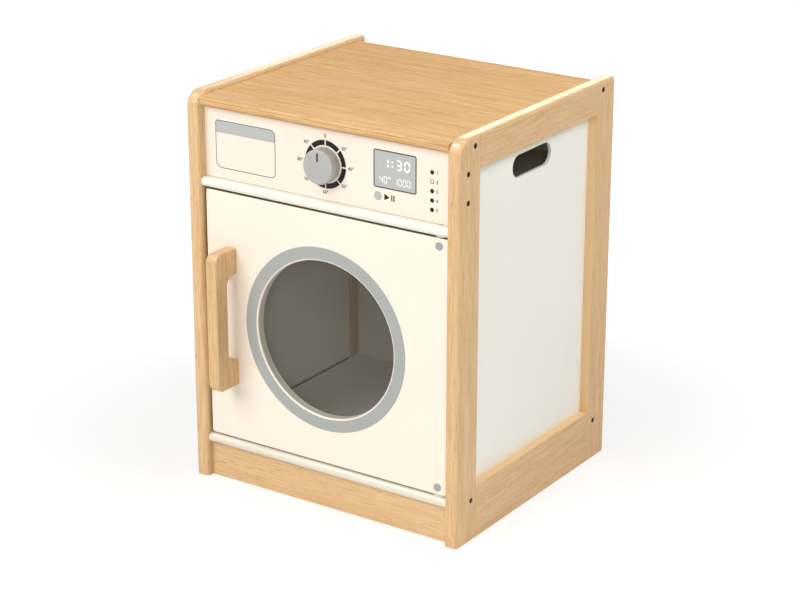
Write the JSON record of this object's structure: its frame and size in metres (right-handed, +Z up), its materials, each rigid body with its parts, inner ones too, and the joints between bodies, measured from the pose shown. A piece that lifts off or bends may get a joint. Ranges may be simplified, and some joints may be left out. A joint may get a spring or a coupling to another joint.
{
  "type": "toy washing machine",
  "caption": "Wooden toy washing machine: framed cabinet with a hinged porthole door, bow handle and turning programme knob.",
  "frame": {"origin": "On the floor, under the middle of the box round the whole object, its handle included.", "axes": "+Z up, +X to the right as seen from the front, +Y from the front to the back."},
  "size_m": [0.39, 0.3816, 0.5],
  "materials": {
    "beech": "clear lacquered beech, satin",
    "plain_wood": "bare birch",
    "white_board": "white lacquered board, satin",
    "cream_board": "cream lacquered board, satin",
    "grey_plastic": "fine matte",
    "nylon": "natural nylon",
    "smoked_acrylic": "smoked clear sheet",
    "steel": "zinc plated",
    "dark_steel": "burnished",
    "magnet": "bare ferrite",
    "brass": "plain",
    "felt": "pressed felt"
  },
  "bodies": {
    "cabinet": {"left_front_stile": "beech", "left_back_stile": "beech", "left_top_rail": "beech", "left_bottom_rail": "beech", "left_side_panel": "white_board", "right_front_stile": "beech", "right_back_stile": "beech", "right_top_rail": "beech", "right_bottom_rail": "beech", "right_side_panel": "white_board", "frame_tenons": "plain_wood", "top_board": "beech", "middle_board": "white_board", "bottom_board": "white_board", "board_dowels": "plain_wood", "control_panel": "cream_board", "plinth": "beech", "plinth_dowels": "plain_wood", "back_panel": "white_board", "side_screws": "dark_steel", "back_panel_screws": "steel", "upper_hinge_bush": "nylon", "lower_hinge_bush": "nylon", "catch_housing": "nylon", "catch_magnet": "magnet", "catch_pole_plates": "steel", "catch_screws": "steel", "knob_felt_disc": "felt", "knob_washer": "steel"},
    "door": {"door_panel": "cream_board", "window_pane": "smoked_acrylic", "window_pane_screws": "steel", "door_handle": "beech", "handle_screws": "dark_steel", "upper_pivot_pin": "steel", "lower_pivot_pin": "steel", "pin_locking_screws": "dark_steel", "hinge_caps": "grey_plastic", "strike_plate": "steel", "strike_plate_screw": "dark_steel"},
    "knob": {"program_knob": "grey_plastic", "knob_insert": "brass", "knob_bolt": "steel"}
  },
  "joints": [
    {"name": "door_hinge", "type": "hinge", "parent": "cabinet", "child": "door", "pos_m": [0.1626, -0.14325, 0.2199], "axis": [0, 0, 1], "range_deg": [0, 100]},
    {"name": "knob_turn", "type": "hinge", "parent": "cabinet", "child": "knob", "pos_m": [0.001, -0.14595, 0.4385], "axis": [0, 1, 0], "continuous": true}
  ]
}
